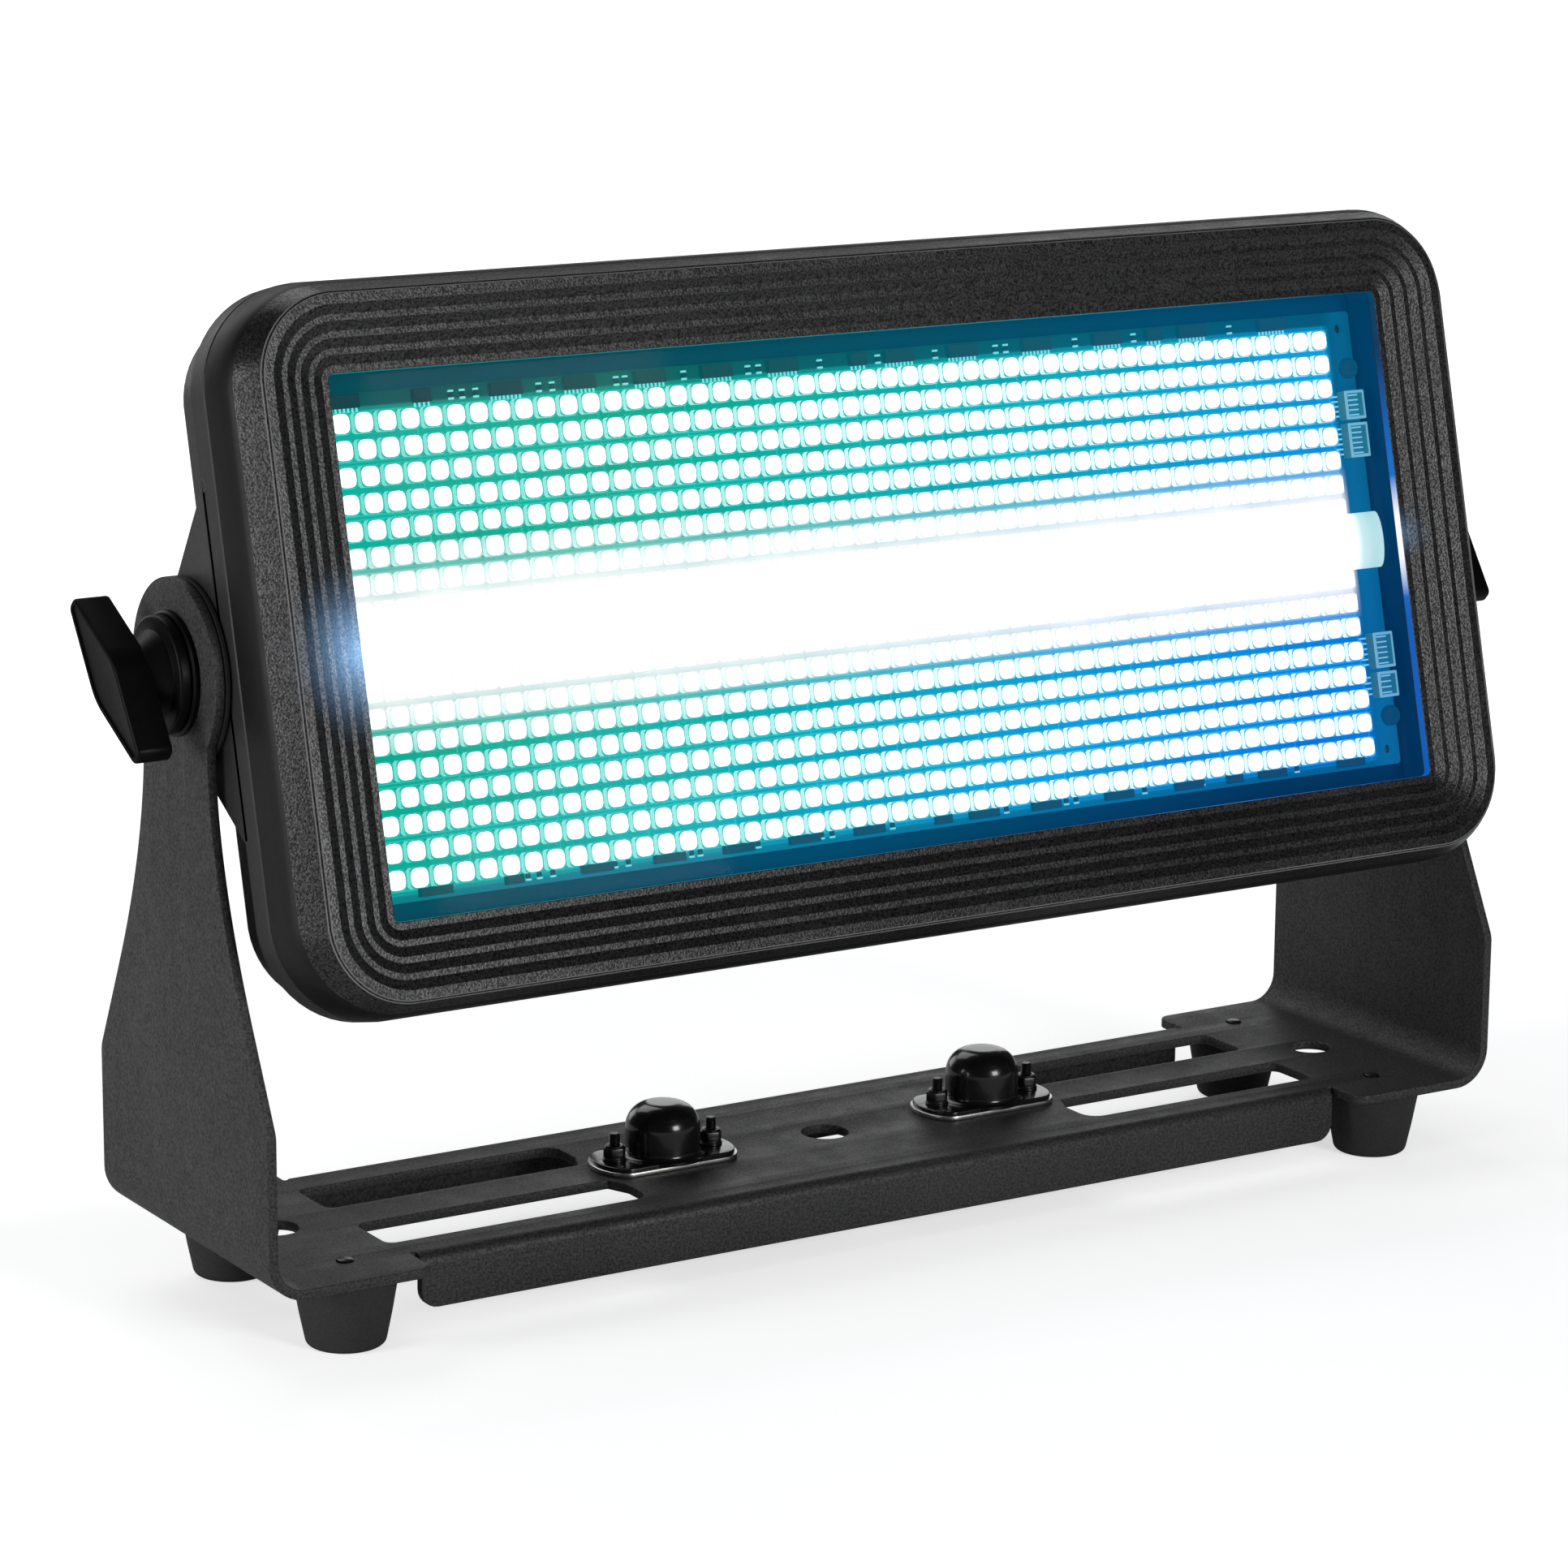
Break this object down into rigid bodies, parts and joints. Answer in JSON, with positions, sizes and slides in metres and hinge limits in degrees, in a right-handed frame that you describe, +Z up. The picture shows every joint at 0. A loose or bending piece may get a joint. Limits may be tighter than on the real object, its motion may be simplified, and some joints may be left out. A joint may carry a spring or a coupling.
{
  "type": "strobe light",
  "caption": "Rectangular LED stage strobe with a ridged bezel, a white centre bar and a tilting head in a U-shaped yoke that stands on rubber feet.",
  "frame": {"origin": "on the floor, under the middle of the lamp's box", "axes": "+X to the viewer's right, +Y to the back, +Z up; the LED face looks along -Y and up"},
  "size_m": [0.4018, 0.1302, 0.2533],
  "materials": {
    "powder_coat": "fine textured powder coat",
    "moulded_plastic": "fine grained",
    "gloss_plastic": "gloss",
    "rubber": "matt",
    "zinc": "zinc plated",
    "dark_steel": "blackened",
    "glass": "clear",
    "led_board": "solder mask",
    "led": "lit diodes",
    "lens": "diffusing",
    "connector": "satin",
    "aluminium": "mill finish",
    "brass": "machined",
    "circuit": "solder mask",
    "display": "gloss",
    "blue_plastic": "satin",
    "grey_plastic": "satin"
  },
  "bodies": {
    "yoke": {"yoke_bracket": "powder_coat", "foot_front_left": "rubber", "foot_screw_front_left": "dark_steel", "foot_rear_left": "rubber", "foot_screw_rear_left": "dark_steel", "clamp_socket_plate_left": "zinc", "clamp_socket_dome_left": "gloss_plastic", "clamp_socket_stud_left_a": "dark_steel", "clamp_socket_stud_left_b": "dark_steel", "friction_spacer_left": "rubber", "knob_washer_left": "moulded_plastic", "foot_front_right": "rubber", "foot_screw_front_right": "dark_steel", "foot_rear_right": "rubber", "foot_screw_rear_right": "dark_steel", "clamp_socket_plate_right": "zinc", "clamp_socket_dome_right": "gloss_plastic", "clamp_socket_stud_right_a": "dark_steel", "clamp_socket_stud_right_b": "dark_steel", "friction_spacer_right": "rubber", "knob_washer_right": "moulded_plastic"},
    "head": {"front_bezel": "moulded_plastic", "window_gasket": "rubber", "window_glass": "glass", "led_board": "led_board", "led_bank_upper": "led", "led_bank_lower": "led", "white_led_bar": "led", "bar_lens": "lens", "board_connector_1": "connector", "board_connector_2": "connector", "board_connector_3": "connector", "board_connector_4": "connector", "heat_sink": "aluminium", "rear_shell": "moulded_plastic", "pivot_insert_left": "brass", "pivot_insert_right": "brass", "rear_cover": "powder_coat", "fan_frame": "moulded_plastic", "power_supply": "aluminium", "control_panel": "gloss_plastic", "display": "display", "control_board": "circuit", "power_inlet": "blue_plastic", "power_outlet": "grey_plastic", "data_inlet": "dark_steel", "data_outlet": "dark_steel", "fuse_holder": "moulded_plastic", "safety_eye": "dark_steel"},
    "fan": {"fan_rotor": "moulded_plastic"},
    "knob_left": {"clamp_knob_left": "moulded_plastic", "clamp_stud_left": "dark_steel"},
    "knob_right": {"clamp_knob_right": "moulded_plastic", "clamp_stud_right": "dark_steel"},
    "button_1": {"menu_button_1": "rubber"},
    "button_2": {"menu_button_2": "rubber"},
    "button_3": {"menu_button_3": "rubber"},
    "button_4": {"menu_button_4": "rubber"}
  },
  "joints": [
    {"name": "head_tilt", "type": "hinge", "parent": "yoke", "child": "head", "pos_m": [0, -0.00256, 0.1613], "axis": [1, 0, 0], "continuous": true},
    {"name": "knob_turn_left", "type": "hinge", "parent": "yoke", "child": "knob_left", "pos_m": [0, -0.00256, 0.1613], "axis": [-1, 0, 0], "range_deg": [0, 360]},
    {"name": "knob_turn_right", "type": "hinge", "parent": "yoke", "child": "knob_right", "pos_m": [0, -0.00256, 0.1613], "axis": [1, 0, 0], "range_deg": [0, 360]},
    {"name": "fan_spin", "type": "hinge", "parent": "head", "child": "fan", "pos_m": [0, 0.02247, 0.16126], "axis": [0, -0.9705, 0.2411], "continuous": true},
    {"name": "button_press_1", "type": "slide", "parent": "head", "child": "button_1", "axis": [0, -0.9705, 0.2411], "range_m": [0, 0.0009], "stiffness_N_per_m": 250},
    {"name": "button_press_2", "type": "slide", "parent": "head", "child": "button_2", "axis": [0, -0.9705, 0.2411], "range_m": [0, 0.0009], "stiffness_N_per_m": 250},
    {"name": "button_press_3", "type": "slide", "parent": "head", "child": "button_3", "axis": [0, -0.9705, 0.2411], "range_m": [0, 0.0009], "stiffness_N_per_m": 250},
    {"name": "button_press_4", "type": "slide", "parent": "head", "child": "button_4", "axis": [0, -0.9705, 0.2411], "range_m": [0, 0.0009], "stiffness_N_per_m": 250}
  ]
}
